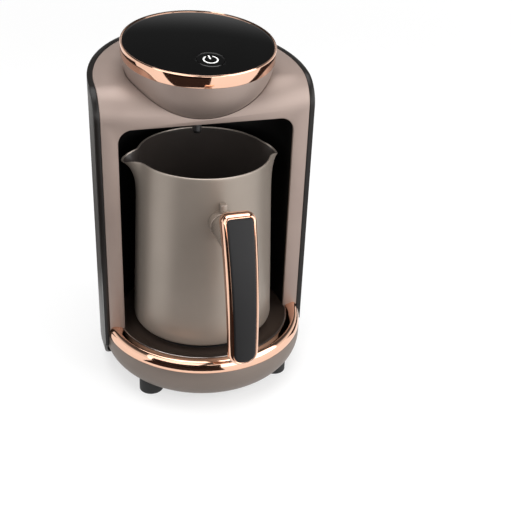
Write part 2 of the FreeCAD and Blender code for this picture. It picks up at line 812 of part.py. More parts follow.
def niche_liner():
    walls = liner_solid("liner_walls", liner_outer, roof_low, liner_low)
    hollow = liner_solid("liner_hollow", liner_half, roof_low + 1, liner_low - 1)
    return cut("niche_liner", walls, hollow)


def niche_roof():
    sensor = cylinder("roof_sensor_hole", size.sensor_radius + size.fit_gap, roof_low - 1,
                      roof_top + 1, 0, size.sensor_back)
    return cut("niche_roof", liner_solid("roof_block", liner_outer, roof_top, roof_low), sensor)


def sensor_probe():
    top = roof_top + 3
    tip = cylinder("sensor_tip", size.sensor_radius, size.sensor_tip + size.sensor_nose, top, 0,
                   size.sensor_back)
    nose = doc.addObject("Part::Cone", "sensor_nose")
    bind(nose, "Radius1", size.sensor_point)
    bind(nose, "Radius2", size.sensor_radius)
    bind(nose, "Height", size.sensor_nose)
    place(nose, 0, size.sensor_back, size.sensor_tip)
    return fuse("sensor_probe", tip, nose)


def sensor_holder():
    """Clip on the liner's roof that holds the sensor tube."""
    outer = cylinder("holder_outer", size.sensor_radius + 2.5, roof_top, roof_top + 3, 0,
                     size.sensor_back)
    inner = cylinder("holder_inner", size.sensor_radius + size.fit_gap, roof_top - 1, roof_top + 4,
                     0, size.sensor_back)
    return cut("sensor_holder", outer, inner)


def head_neck():
    """Collar that carries the bowl on the liner's roof."""
    outer = cylinder("neck_outer", size.neck_radius, roof_top, roof_top + 12, 0, size.sensor_back)
    inner = cylinder("neck_inner", size.neck_radius - size.bowl_wall, roof_top - 1, roof_top + 13,
                     0, size.sensor_back)
    above = cylinder("neck_above", size.head_radius, bowl_floor, bowl_floor + 40)
    return cut("head_neck", outer, inner, in_head(group("neck_limit", above)))


# Head, drawn on its own axis with the top of the band's lip just above zero

def head_bowl():
    """Bowl with a flat floor, a spigot inside the band, three board posts and a wire hole."""
    outer = ellipsoid("bowl_outer_form", bowl_radius, size.bowl_depth, bowl_top)
    inner_radius = bowl_radius - size.bowl_wall
    inner = ellipsoid("bowl_inner_form", inner_radius, size.bowl_depth - size.bowl_wall, bowl_top)
    reach = size.head_radius + 5
    body_part = common("bowl_body", outer, box("bowl_keep", -reach, reach, -reach, reach,
                                               bowl_floor, bowl_top))
    hollow = common("bowl_hollow", inner, box("bowl_room", -reach, reach, -reach, reach,
                                              bowl_inside, bowl_top + 5))
    shell = cut("bowl_shell", body_part, hollow)
    spigot_radius = band_inner - size.fit_gap
    spigot_top = bowl_top + size.spigot_height
    spigot = cut("bowl_spigot", cylinder("spigot_outer", spigot_radius, bowl_top - 1.5, spigot_top),
                 cylinder("spigot_inner", spigot_radius - 1.6, bowl_top - 2, spigot_top + 1))
    posts = []
    for turn in (30, 150, 270):
        x = size.control_radius * 0.55 * math.cos(math.radians(turn))
        y = size.control_radius * 0.55 * math.sin(math.radians(turn))
        posts.append(cylinder("bowl_post", size.post_radius, bowl_inside - 0.5, control_level, x, y))
    wires = cylinder("bowl_wire_hole", size.wire_radius * 2, bowl_floor - 1, bowl_inside + 1, 0,
                     size.wire_hole)
    return cut("head_bowl", fuse("bowl_whole", shell, spigot, *posts), wires)


def head_ring():
    """Copper band with a lip over the glass and a ledge under it."""
    lip, outer = glass_radius + size.fit_gap, size.head_radius
    ledge_low = ledge_top - 1.5
    top = 0.6
    corners = [(lip, top), (outer - 0.5, top), (outer, top - 0.5), (outer, bowl_top),
               (band_inner, bowl_top), (band_inner, ledge_low), (lip - 2.5, ledge_low),
               (lip - 2.5, ledge_top), (lip, ledge_top)]
    return revolved("head_ring", corners)


def crown(name, grow):
    """The ball whose top is the crown of the glass."""
    ball = doc.addObject("Part::Sphere", name)
    bind(ball, "Radius", crown_radius + grow)
    return place(ball, 0, 0, size.glass_crown - crown_radius)


def glass_top():
    disc = cylinder("glass_disc", glass_radius, -size.glass_thickness, size.glass_crown + 1)
    hole = cylinder("glass_hole", size.button_radius + size.button_gap,
                    -size.glass_thickness - 1, size.glass_crown + 2, 0, -size.button_forward)
    return cut("glass_top", common("glass_whole", disc, crown("glass_crown_form", 0)), hole)


switch_top = control_level + size.board_sheet + size.switch_height
plunger_top = switch_top + size.plunger_height
stem_low = plunger_top + size.plunger_gap + size.button_travel


def symbol_solids(name, grow):
    """Standby sign, an open ring with a bar through its gap, grown by one distance."""
    low, high = 0.6, 4
    stroke = size.symbol_stroke + grow * 2
    gap_half = size.symbol_gap - grow
    radius, y = size.symbol_radius, -size.button_forward
    outer = cylinder(name + "_outer", radius + stroke / 2, low, high, 0, y)
    inner = cylinder(name + "_inner", radius - stroke / 2, low - 1, high + 1, 0, y)
    gap = box(name + "_gap", -gap_half, gap_half, y, y + radius * 2, low - 1, high + 1)
    ring = cut(name + "_ring", outer, inner, gap)
    bar = box(name + "_bar", -stroke / 2, stroke / 2, y + 0.5 - grow, y + radius + 1 + grow, low, high)
    return fuse(name, ring, bar)


def power_button():
    """Cap flush with the glass, a flange that holds it in, and a stem to the switch."""
    y = -size.button_forward
    flange_top = -size.glass_thickness - 0.3
    cap = cylinder("button_cap", size.button_radius, flange_top - 1, size.glass_crown + 1, 0, y)
    flange = cylinder("button_flange", size.button_radius + 1.3, flange_top - 1.2, flange_top, 0, y)
    stem = cylinder("button_stem", 2, stem_low, flange_top - 1, 0, y)
    whole = common("button_form", fuse("button_whole", cap, flange, stem), crown("button_crown", 0))
    recess = symbol_solids("symbol_recess", size.fit_gap / 2)
    return cut("power_button", whole, recess)


def power_symbol():
    solid = symbol_solids("symbol_form", 0)
    return common("power_symbol", solid, crown("symbol_crown", 0.04))


def button_guide():
    """Tube between the board and the glass in which the button's flange runs."""
    y = -size.button_forward
    inner = size.button_radius + 1.3 + size.button_gap
    low, top = control_level + size.board_sheet, -size.glass_thickness
    outer_tube = cylinder("guide_outer", inner + 1.5, low, top, 0, y)
    return cut("button_guide", outer_tube, cylinder("guide_inner", inner, low - 1, top + 1, 0, y))


def control_board():
    low = control_level
    disc = cylinder("control_disc", size.control_radius, low, low + size.board_sheet)
    holes = cylinder("control_wire_hole", size.wire_radius + 0.4, low - 1, low + 3, 0, size.wire_hole)
    return cut("control_board", disc, holes)


def control_parts():
    """Switch under the button, buzzer, processor and connector."""
    low = control_level + size.board_sheet
    y = -size.button_forward
    switch = box("switch_body", -4, 4, y - 4, y + 4, low, switch_top)
    plunger = cylinder("switch_plunger", 1.8, switch_top, plunger_top, 0, y)
    buzzer = cylinder("buzzer", 6, low, low + 6.5, 22, 6)
    chip = box("processor", -30, -18, -4, 8, low, low + 2.2)
    behind = size.wire_hole + 4
    plug = box("board_connector", -6, 6, behind, behind + 6, low, low + 5)
    return fuse("control_parts", fuse("switch", switch, plunger), buzzer, chip, plug)


# Electronics behind the niche

board_rear = size.board_back + size.board_sheet
post_spots = [(sx * (size.board_half - 5), size.board_low + rise) for sx in SIGNS
              for rise in (6, size.board_tall - 6)]


def power_board():
    low = size.board_low
    sheet_box = box("power_sheet", -size.board_half, size.board_half, size.board_back, board_rear,
                    low, low + size.board_tall)
    holes = [rod("power_hole", size.screw_radius + size.fit_gap, size.board_back - 1, board_rear + 1, x, z)
             for x, z in post_spots]
    return cut("power_board", sheet_box, *holes)


def board_posts():
    """Four posts that stand on the liner's back and carry the power board."""
    posts = [rod("board_post", size.post_radius, liner_outer - 12, size.board_back, x, z)
             for x, z in post_spots]
    bores = [rod("board_post_bore", size.screw_radius, size.board_back - 5, size.board_back + 1, x, z)
             for x, z in post_spots]
    return cut("board_posts", fuse("board_posts_whole", *posts), liner_block, *bores)


def board_screws():
    items = []
    for x, z in post_spots:
        items.append(rod("board_screw_head", size.screw_head, board_rear, board_rear + size.screw_cap, x, z))
        items.append(rod("board_screw_shank", size.screw_radius - 0.05, size.board_back - 4,
                         board_rear + 0.5, x, z))
    return fuse("board_screws", *items)


def power_parts():
    """Transformer, relay, capacitor and terminal block on the power board."""
    back, low = board_rear, size.board_low
    transformer = box("transformer", -14, 8, back, back + 9, low + 44, low + 64)
    relay = box("relay", -15, 3, back, back + 8, low + 18, low + 38)
    capacitor = rod("capacitor", 4.5, back, back + 9, 14, low + 30)
    terminals = box("terminals", -12, 12, back, back + 7, low + 2, low + 11)
    return fuse("power_parts", transformer, relay, capacitor, terminals)


def loom():
    """Leads from the power board over the niche's roof, up into the head."""
    tilt = math.radians(float(size.head_tilt))
    under = float(control_level) - 0.2
    hole = float(size.wire_hole)
    along = hole * math.cos(tilt) - under * math.sin(tilt)
    rise = hole * math.sin(tilt) + under * math.cos(tilt)
    head_y, head_z = float(size.head_back) + along, float(size.head_height) + rise
    board_y = float(size.board_back) + float(size.board_sheet) / 2
    board_z = float(size.board_low) + float(size.board_tall) + 0.2
    level = float(roof_top) + float(size.wire_radius) + 2.6
    radius = float(size.wire_radius)
    lean_in = math.tan(tilt) * (head_z - level)
    points = [Vector(0, board_y, board_z), Vector(0, board_y, level),
              Vector(0, head_y + lean_in, level), Vector(0, head_y, head_z)]
    return drawn("loom", tube(points, radius, 5 * radius))


def heater_wires():
    """Two leads from the element's terminals, through the base, up to the power board."""
    radius = float(lead_radius)
    start, end = float(terminal_low) - 0.1, float(size.board_low) - 0.2
    low, front, back = float(pan_low) - 3, float(terminal_back), float(lead_back)
    leads = []
    for side in SIGNS:
        x = side * float(terminal_across)
        points = [Vector(x, front, start), Vector(x, front, low), Vector(x, back, low),
                  Vector(x, back, end)]
        leads.append(tube(points, radius, 2.5 * radius))
    return drawn("heater_wires", Part.Compound(leads))


def cord_gland():
    """Rubber bush in the rear wall, with an inner and an outer flange."""
    y_in = size.rear_centre + rear_inner - 1.2
    barrel = rod("gland_barrel", size.gland_radius, y_in - 2, gland_face, 0, size.gland_height)
    outer = rod("gland_outer", gland_flange, gland_face - 1.6, gland_face, 0, size.gland_height)
    inner = rod("gland_inner", gland_flange - 0.5, y_in - 2, y_in, 0, size.gland_height)
    hole = rod("gland_hole", size.cord_hole, y_in - 4, gland_face + 1, 0, size.gland_height)
    return cut("cord_gland", fuse("gland_whole", barrel, outer, inner), hole)


# Pot and handle

def pot_half_width(turn, rise, inset):
    """Radius of the pot at an angle round its axis and a height above its bottom."""
    height, start = float(size.pot_height), float(size.pot_height - size.spout_start)
    taper = float(size.pot_bottom) + (float(size.pot_rim) - float(size.pot_bottom)) * rise / height
    grown = min(max((rise - start) / (height - start), 0), 1) ** 3.3
    spread = float(size.spout_width) * (0.75 + 0.25 * (1 - grown)) / taper
    bump = 0
    for middle in (0, math.pi):
        away = (turn - middle + math.pi) % (2 * math.pi) - math.pi
        bump += math.exp(-abs(away / spread) ** 1.7)
    return taper - inset + float(size.spout_reach) * grown * bump


def pot_ring(rise, inset, extra=0):
    """Closed smooth curve round the pot at one height, with the same parameters at each."""
    count = 48
    level = float(plate_top) + rise + extra
    points = []
    for index in range(count):
        turn = 2 * math.pi * index / count
        radius = pot_half_width(turn, rise, inset)
        points.append(Vector(radius * math.cos(turn), radius * math.sin(turn), level))
    curve = Part.BSplineCurve()
    steps = [index / count for index in range(count + 1)]
    curve.interpolate(Points=points, PeriodicFlag=True, Parameters=steps)
    return Part.Wire(curve.toShape())


def pot_solid(inset, floor, top_extra):
    """Cone with a rounded lower edge, and the lofted upper wall with its two spouts."""
    height = float(size.pot_height)
    start = height - float(size.spout_start)
    low, rounding = float(plate_top) + floor, float(size.pot_round) - inset
    cone = Part.makeCone(float(size.pot_bottom) - inset, pot_half_width(math.pi / 2, start, inset),
                         start - floor, Vector(0, 0, low))
    lowest = [edge for edge in cone.Edges if edge.BoundBox.ZMax < low + 0.01]
    cone = cone.makeFillet(rounding, lowest)
    highest = [edge for edge in cone.Edges if edge.BoundBox.ZMin > low + start - floor - 0.01]
    steps = 7
    rings = [Part.Wire(highest)]
    rings += [pot_ring(start + (height - start) * step / steps, inset) for step in range(1, steps + 1)]
    if top_extra:
        rings.append(pot_ring(height, inset, top_extra))
    return cone.fuse(Part.makeLoft(rings, True, False))


pot_outside = drawn("pot_outside", pot_solid(0, 0, 0))
pot_inside = drawn("pot_inside", pot_solid(float(size.pot_wall), float(size.pot_wall), 2))

bore_down = (size.handle_height - size.boss_height) / cosine(lean)
stem_face = -size.boss_reach - size.stem_gap


def handle_block(name, inset, front, back, upper, lower):
    """Tapered bar with rounded corners, in the handle's frame: Y runs back from its face."""
    top, end = size.handle_top - inset, size.handle_end - inset
    corners = [(-top, -upper), (top, -upper), (end, lower - size.handle_length),
               (-end, lower - size.handle_length)]
    block = extruded(name, "XZ_Plane", corners, back - front, back=True, level=-front)

    def long_edge(high):
        def test(edge):
            low_z, high_z = edge.BoundBox.ZMin, edge.BoundBox.ZMax
            across = edge.BoundBox.XLength < 0.01 and high_z - low_z < 0.01
            return across and (high_z > -float(size.handle_length) / 2) == high
        return test
    soften(block, size.handle_corner - inset, long_edge(True))
    return soften(block, size.handle_tip - inset, long_edge(False))


def face_edges(depth):
    def test(edge):
        return edge.BoundBox.YMin > float(depth) - 0.01 and edge.BoundBox.YMax < float(depth) + 0.01
    return test


def screw_axis(name, radius, y0, y1):
    """A rod square to the handle at the height of the boss."""
    return rod(name, radius, y0, y1, 0, -bore_down)


handle_pocket = handle_block("handle_pocket", size.border - size.fit_gap, -1, size.inlay_depth,
                             size.border, size.border)


def handle_frame():
    block = handle_block("frame_block", 0, 0, size.handle_depth, 0, 0)
    soften(block, 2.2, face_edges(size.handle_depth))
    soften(block, 0.9, face_edges(0))
    sink = screw_axis("frame_sink", size.screw_head + 0.9, 0, size.inlay_depth + 2.2)
    bore = screw_axis("frame_bore", size.screw_radius + 0.5, 0, size.handle_depth + 1)
    return cut("handle_frame", block, handle_pocket, sink, bore)


def handle_inlay():
    inlay = handle_block("handle_inlay", size.border, -size.inlay_proud, size.inlay_depth,
                         size.border + size.fit_gap, size.border + size.fit_gap)
    return soften(inlay, 0.5, face_edges(-size.inlay_proud))


def handle_screw():
    head_low = size.inlay_depth + size.fit_gap
    head = screw_axis("handle_screw_head", size.screw_head + 0.7, head_low, head_low + 2)
    shank = screw_axis("handle_screw_shank", size.screw_radius + 0.4, head_low + 1, 24)
    return fuse("handle_screw", head, shank)


def pot_boss():
    disc = rod("boss_disc", size.boss_radius, -size.boss_reach, -size.pot_rim + 6, 0, size.boss_height)
    stud = rod("boss_stud", size.stud_radius, -size.boss_reach - size.stud_length,
               -size.boss_reach + 1, 0, size.boss_height)
    return cut("pot_boss", fuse("boss_whole", disc, stud), pot_outside)


def pot_tab():
    block = box("tab_block", -size.tab_width / 2, size.tab_width / 2, -size.tab_reach,
                -size.pot_rim + 6, size.boss_height, size.tab_top)
    boss = rod("tab_boss", size.boss_radius, -size.tab_reach - 1, -size.pot_rim + 7, 0, size.boss_height)
    return cut("pot_tab", block, pot_outside, boss)


def handle_stem():
    """Round stem from the boss to the back of the handle, cut flush with it."""
    bar = rod("stem_bar", size.stem_radius, -size.handle_forward - 5, stem_face, 0, size.boss_height)
    stud = rod("stem_stud_bore", size.stud_radius + 0.05, -size.boss_reach - size.stud_length - 0.5,
               stem_face + 1, 0, size.boss_height)
    room = size.handle_length * 2
    block = box("stem_limit", -room, room, -room, size.handle_depth, -room, room)
    bore = screw_axis("stem_bore", size.screw_radius + 0.5, 0, 24.5)
    return cut("handle_stem", bar, stud, in_handle(group("stem_limit_set", block)),
               in_handle(group("stem_bore_set", bore)))


UPRIGHT = [base_shell, base_plate, feet, base_screws, base_ring, pot_dish, plate_seal, heating_plate,
           heating_element, heater_pan, thermostat, thermal_fuse, front_shell, trim_band, rear_shell,
           niche_liner, niche_roof, sensor_probe, sensor_holder, head_neck, power_board, power_parts,
           board_posts, board_screws, loom, heater_wires, cord_gland, pot_boss, pot_tab,
           handle_stem]
HEAD = [head_bowl, head_ring, glass_top, power_button, power_symbol, button_guide, control_board,
        control_parts]
HANDLE = [handle_frame, handle_inlay, handle_screw]

for frame, makers in ((at_pot, UPRIGHT), (in_head, HEAD), (in_handle, HANDLE)):
    for maker in makers:
        sub_part(maker(), maker.__name__, frame)
sub_part(cut("pot_body", pot_outside, pot_inside), "pot_body")

doc.recompute()

problems = []
for item in doc.Objects:
    if "Invalid" in item.State or "Error" in item.State:
        problems.append("%s: %s" % (item.Label, item.State))
for item in finished:
    if item.Shape.isNull() or not item.Shape.isValid() or not item.Shape.Solids:
        problems.append("%s: no valid solid" % item.Label)
if problems:
    raise RuntimeError("; ".join(problems))

os.makedirs("parts", exist_ok=True)
for item in finished:
    item.Shape.exportStep("parts/%s.step" % item.Label)
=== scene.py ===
import json
import math

import bmesh
import bpy
from mathutils import Matrix, Vector


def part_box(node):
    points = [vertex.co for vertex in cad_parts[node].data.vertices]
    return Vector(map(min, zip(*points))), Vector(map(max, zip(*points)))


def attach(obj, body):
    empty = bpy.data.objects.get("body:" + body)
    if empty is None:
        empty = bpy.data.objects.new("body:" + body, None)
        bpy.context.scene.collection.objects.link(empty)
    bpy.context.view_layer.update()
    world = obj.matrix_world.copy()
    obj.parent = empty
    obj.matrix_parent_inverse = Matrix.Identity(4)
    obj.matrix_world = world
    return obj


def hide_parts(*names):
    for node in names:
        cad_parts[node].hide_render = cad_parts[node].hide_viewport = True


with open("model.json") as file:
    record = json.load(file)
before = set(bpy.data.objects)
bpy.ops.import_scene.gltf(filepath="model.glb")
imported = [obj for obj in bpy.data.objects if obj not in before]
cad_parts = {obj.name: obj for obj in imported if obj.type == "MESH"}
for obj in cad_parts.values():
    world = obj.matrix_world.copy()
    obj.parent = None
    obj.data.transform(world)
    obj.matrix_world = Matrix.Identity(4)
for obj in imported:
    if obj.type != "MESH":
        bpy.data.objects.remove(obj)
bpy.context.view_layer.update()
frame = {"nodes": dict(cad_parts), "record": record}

MM = 0.001
MERGE = 1e-6

SLOTS = {entry["node"]: entry["material_slot"] for entry in frame["record"]["subparts"]}
BODIES = {node: body for body, nodes in frame["record"]["behaviour"]["bodies"].items()
          for node in nodes}


# Places: most come from the frame. The head and the handle are given in mm from the pot's axis
# and from the floor, and lean by degrees.

HEAD_BACK, HEAD_HEIGHT, HEAD_TILT = 16.4, 240.4, 7.9
HANDLE_FORWARD, HANDLE_HEIGHT, HANDLE_LEAN = 88.3, 162.7, 12


def middle_of(node):
    low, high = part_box(node)
    return (low + high) / 2


def tilted(back, height, degrees):
    """A place behind the pot's axis and above the floor, turned round X."""
    return (Matrix.Translation((0, pot_axis + back * MM, height * MM))
            @ Matrix.Rotation(math.radians(degrees), 4, "X"))


pot_axis = middle_of("heating_plate").y
plate_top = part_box("heating_plate")[1].z
ring_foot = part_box("base_ring")[0].z
shell_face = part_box("front_shell")[0].y

FLOORWARD = Matrix.Translation((0, pot_axis, 0))
HEAD = tilted(HEAD_BACK, HEAD_HEIGHT, HEAD_TILT)
HANDLE = tilted(-HANDLE_FORWARD, HANDLE_HEIGHT, -HANDLE_LEAN)


# Objects

def link(name, data):
    """An object of the scene that holds this data."""
    made = bpy.data.objects.new(name, data)
    bpy.context.scene.collection.objects.link(made)
    return made


def meshed(name, mesh):
    """An object of the scene made of a finished mesh."""
    data = bpy.data.meshes.new(name)
    mesh.to_mesh(data)
    mesh.free()
    return link(name, data)


# Camera

CAMERA_SPOT = (-0.1518, -0.5648, 0.417)
CAMERA_AZIMUTH, CAMERA_ELEVATION, CAMERA_ROLL = -18.871, 29.485, 2.495
CAMERA_LENS = 64.17
CAMERA_SENSOR = 36


def photo_camera():
    """The photograph's own viewpoint: a long lens a little to the left, looking down."""
    azimuth, elevation, roll = (math.radians(angle) for angle in
                                (CAMERA_AZIMUTH, CAMERA_ELEVATION, CAMERA_ROLL))
    back = Vector((math.sin(azimuth) * math.cos(elevation),
                   -math.cos(azimuth) * math.cos(elevation), math.sin(elevation)))
    right = (-back).cross(Vector((0, 0, 1))).normalized()
    up = right.cross(-back)
    across = right * math.cos(roll) + up * math.sin(roll)
    upright = up * math.cos(roll) - right * math.sin(roll)
    data = bpy.data.cameras.new("photo_camera")
    data.sensor_width = CAMERA_SENSOR
    data.lens = CAMERA_LENS
    made = link("photo_camera", data)
    turn = Matrix((across, upright, back)).transposed().to_4x4()
    made.matrix_world = FLOORWARD @ Matrix.Translation(CAMERA_SPOT) @ turn
    bpy.context.scene.camera = made


# Materials

NOISE_LOW, NOISE_HIGH = 0.3, 0.7
CLOUD = 40


def linear(code):
    """An sRGB hex colour as linear red, green, blue and alpha."""
    parts = [int(code[i:i + 2], 16) / 255 for i in (1, 3, 5)]
    return [p / 12.92 if p <= 0.04045 else ((p + 0.055) / 1.055) ** 2.4 for p in parts] + [1]


def blank(owner):
    """The emptied node tree of a material or a world."""
    owner.use_nodes = True
    owner.node_tree.nodes.clear()
    return owner.node_tree


def add(tree, kind, inputs=None, **settings):
    """One node with its settings, and its sockets set or linked."""
    made = tree.nodes.new("ShaderNode" + kind)
    for name, value in settings.items():
        setattr(made, name, value)
    for socket, value in (inputs or {}).items():
        if isinstance(value, bpy.types.NodeSocket):
            tree.links.new(value, made.inputs[socket])
        else:
            made.inputs[socket].default_value = value
    return made


def finish(name, dark, light, rough, grain=0.8, depth=0.01, shine=0.04, **shader):
    """A surface whose colour drifts over CLOUD mm, with `grain` mm texture `depth` mm deep."""
    made = bpy.data.materials.new(name)
    tree = blank(made)
    place = add(tree, "TexCoord").outputs["Object"]
    drift = add(tree, "TexNoise", {"Vector": place, "Scale": 1 / (CLOUD * MM), "Detail": 3.0})
    colour = add(tree, "ValToRGB", {"Fac": drift.outputs["Fac"]})
    for element, spot, code in zip(colour.color_ramp.elements, (NOISE_LOW, NOISE_HIGH),
                                   (dark, light)):
        element.position = spot
        element.color = linear(code)
    speck = add(tree, "TexNoise", {"Vector": place, "Scale": 1 / (grain * MM), "Detail": 4.0,
                                   "Roughness": 0.6})
    spread = add(tree, "MapRange", {"Value": speck.outputs["Fac"], "From Min": NOISE_LOW,
                                    "From Max": NOISE_HIGH, "To Min": rough - shine,
                                    "To Max": rough + shine})
    relief = add(tree, "Bump", {"Height": speck.outputs["Fac"], "Distance": depth * MM,
                                "Strength": 1.0})
    inputs = {"Base Color": colour.outputs["Color"], "Roughness": spread.outputs["Result"],
              "Normal": relief.outputs["Normal"]}
    inputs.update({key.replace("_", " "): value for key, value in shader.items()})
    skin = add(tree, "BsdfPrincipled", inputs)
    add(tree, "OutputMaterial", {"Surface": skin.outputs["BSDF"]})
    return made


FINISHES = {
    # Metallic-effect lacquer on moulded ABS: warm grey and satin. The real flake is too fine to
    # see, so it is drawn 0.7 mm coarse.
    "taupe_shell": finish("lacquered_abs_taupe", "#998880", "#a08f86", 0.48, Metallic=0.4,
                          grain=0.7, depth=0.006),
    # The same lacquer on the base bowl, drawn darker as painted shade for a bowl that faces the
    # floor
    "taupe_base": finish("lacquered_abs_taupe_painted_shade", "#776c64", "#7e726a", 0.48, Metallic=0.4,
                         grain=0.7, depth=0.006),
    # Moulded ABS in the mass, with a light spark-eroded texture
    "grey_shell": finish("moulded_abs_grey", "#62605e", "#686664", 0.45, Metallic=0.3,
                         depth=0.003),
    # Half-gloss ABS: deep brown-black with a soft sheen
    "gloss_trim": finish("gloss_abs_black", "#14110f", "#181412", 0.34, depth=0.001, shine=0.02,
                         Specular_IOR_Level=0.3),
    # Copper-coloured electroplate on polished metal: a mirror with a pink-gold body
    "copper_chrome": finish("copper_plate_polished", "#eebfa5", "#f1c4aa", 0.07, Metallic=1.0,
                            depth=0.0, shine=0.015),
    # Polished rim of the enamelled dish: metal that mirrors, coloured pale so that it also carries
    # a painted highlight as a thin bright line
    "dish_rim": finish("steel_rim_polished_painted_highlight", "#b5aaa3", "#c0b5ae", 0.2, Metallic=0.9, depth=0.001),
    # Toughened soda-lime glass, painted black on its back: black with a mirror-smooth face
    "black_glass": finish("back_painted_glass", "#060606", "#080808", 0.04, depth=0.0, shine=0.01,
                          IOR=1.52),
    # Gloss acrylic cap, matched to the glass round it
    "button_cap": finish("gloss_acrylic_black", "#080808", "#0a0a0a", 0.06, depth=0.0, shine=0.01,
                         IOR=1.49),
    # Dark vitreous enamel with a faint brown tone
    "dark_dish": finish("enamel_dark_brown", "#5e5048", "#67584f", 0.34, Metallic=0.7,
                        depth=0.004),
    # Black high-temperature coating on a cast aluminium plate: dull and slightly rough
    "plate_metal": finish("ptfe_coated_aluminium", "#1b1a19", "#211f1e", 0.42, depth=0.02),
    # Sprayed ceramic non-stick coat over spun metal: satin, its fine flakes drawn as coarse
    "pot_coating": finish("ceramic_coat_taupe", "#948a80", "#9b9086", 0.42, Metallic=0.5,
                          grain=0.7, depth=0.006),
    # Bare rolled edge of the pot, brushed, and drawn paler than the coat as a painted highlight
    # along the rim
    "pot_lip": finish("aluminium_rolled_edge_painted_highlight", "#a2978d", "#ada298", 0.36, Metallic=0.6,
                      depth=0.003),
    # Satin-sprayed die casting of boss, tab and stem, paler than the pot
    "handle_mount": finish("die_cast_satin_taupe", "#a0948a", "#aa9e94", 0.3, Metallic=0.7,
                           depth=0.006),
    # Phenolic grip insert: near black, spark-eroded matt
    "inlay": finish("phenolic_matt_black", "#0d0c0e", "#121113", 0.5, grain=0.9, depth=0.03,
                    Specular_IOR_Level=0.35),
    # Non-stick lining of the pot: brown-black, satin
    "pot_lining": finish("ptfe_lining_black", "#3a3431", "#423b37", 0.42, depth=0.004),
    # Heat-proof polyamide lining of the niche: black, half matt
    "liner": finish("polyamide_black", "#0b0a0a", "#0f0e0e", 0.35, depth=0.008),
    # Polypropylene in the mass: black, with a waxy sheen
    "black_plastic": finish("polypropylene_black", "#151515", "#191919", 0.45, depth=0.01),
    # Soft rubber, dull
    "rubber": finish("rubber_black", "#141414", "#1a1a1a", 0.7, depth=0.02),
    # Moulded silicone: a little smoother than the rubber
    "silicone": finish("silicone_dark", "#191818", "#1e1d1d", 0.55, depth=0.01),
    # Brushed stainless steel: grey, with a soft highlight
    "steel": finish("stainless_steel_brushed", "#8f8f90", "#98989a", 0.3, Metallic=1.0,
                    depth=0.002),
    # Zinc-plated screws: bluish grey
    "screw_steel": finish("zinc_plated_steel", "#8a8c90", "#94969a", 0.35, Metallic=1.0,
                          depth=0.004),
    # Nickel alloy sheath of the tubular element, browned by its heat
    "element": finish("nickel_alloy_sheath", "#4a4541", "#544e49", 0.45, Metallic=1.0, depth=0.01),
    # Pressed steatite: chalky cream
    "ceramic": finish("steatite_ceramic", "#cfc8b8", "#d8d2c3", 0.5, depth=0.01),
    # Solder mask on glass-fibre laminate: green, half gloss
    "circuit_board": finish("solder_mask_green", "#12502a", "#165a30", 0.35, depth=0.01),
    # Epoxy moulding compound of the components: charcoal, matt
    "board_parts": finish("epoxy_moulding_black", "#1c1c1e", "#242427", 0.5, depth=0.01),
    # Silicone-sleeved wire: dull red
    "wiring": finish("silicone_wire_red", "#8a1d18", "#96231d", 0.55, depth=0.01),
    # Acrylic diffuser under the sign: even white
    "white_symbol": finish("acrylic_diffuser_white", "#f2f2f0", "#fafaf8", 0.4, depth=0.0),
    # Matt black card of the studio
    "black_card": finish("card_matt_black", "#2a2220", "#2e2623", 0.9, Specular_IOR_Level=0.0),
}

for node, shown in frame["nodes"].items():
    shown.data.materials.clear()
    shown.data.materials.append(FINISHES[SLOTS[node]])


# Pieces

SHARP_ANGLE = 35
FLAT_ANGLE = 0.4


def piece(name, mesh, node, place=None, look=None, extra=()):
    """Places a finished mesh, and lets it stand for a CAD node with that node's body and slot."""
    if place:
        bmesh.ops.transform(mesh, matrix=place, verts=mesh.verts)
    made = meshed(name, mesh)
    for face in made.data.polygons:
        face.use_smooth = True
    made.data.set_sharp_from_angle(angle=math.radians(SHARP_ANGLE))
    for used in (look or SLOTS[node], *extra):
        made.data.materials.append(FINISHES[used])
    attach(made, BODIES[node])
    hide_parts(node)


def turned(profile, steps=160):
    """A closed profile of (radius, height) points in mm, turned once round Z."""
    mesh = bmesh.new()
    points = [mesh.verts.new((radius * MM, 0, height * MM)) for radius, height in profile]
    edges = [mesh.edges.new(pair) for pair in zip(points, points[1:] + points[:1])]
    bmesh.ops.spin(mesh, geom=points + edges, cent=(0, 0, 0), axis=(0, 0, 1), angle=2 * math.pi,
                   steps=steps, use_merge=True)
    bmesh.ops.remove_doubles(mesh, verts=mesh.verts, dist=MERGE)
    bmesh.ops.dissolve_degenerate(mesh, edges=mesh.edges, dist=MERGE)
    bmesh.ops.recalc_face_normals(mesh, faces=mesh.faces)
    return mesh


def soften(mesh, width, segments=3, sharp=30):
    """Rounds the edges that turn by more than `sharp` degrees, by `width` mm."""
    edges = [edge for edge in mesh.edges if len(edge.link_faces) == 2
             and edge.calc_face_angle(0) > math.radians(sharp)]
    bmesh.ops.bevel(mesh, geom=edges, offset=width * MM, segments=segments, profile=0.5,
                    affect="EDGES", material=-1, clamp_overlap=True)
    return mesh


def copied(node):
    """A merged copy of a CAD node's mesh, with its flat faces joined."""
    mesh = bmesh.new()
    mesh.from_mesh(frame["nodes"][node].data)
    bmesh.ops.remove_doubles(mesh, verts=mesh.verts, dist=MERGE)
    bmesh.ops.dissolve_limit(mesh, angle_limit=math.radians(FLAT_ANGLE), verts=mesh.verts,
                             edges=mesh.edges)
    return mesh


def end_face(mesh, pick):
    """The face that lies furthest forwards, with min, or furthest back, with max."""
    return pick(mesh.faces, key=lambda face: face.calc_center_median().y)


# Copper ring and dish

RING_GAP = 0.1
DISH_RIM_RADIUS, DISH_RIM_RISE = 62.5, 5


def from_foot(profile):
    """A profile with its heights counted from the foot of the copper ring."""
    return [(radius, ring_foot / MM + rise) for radius, rise in profile]


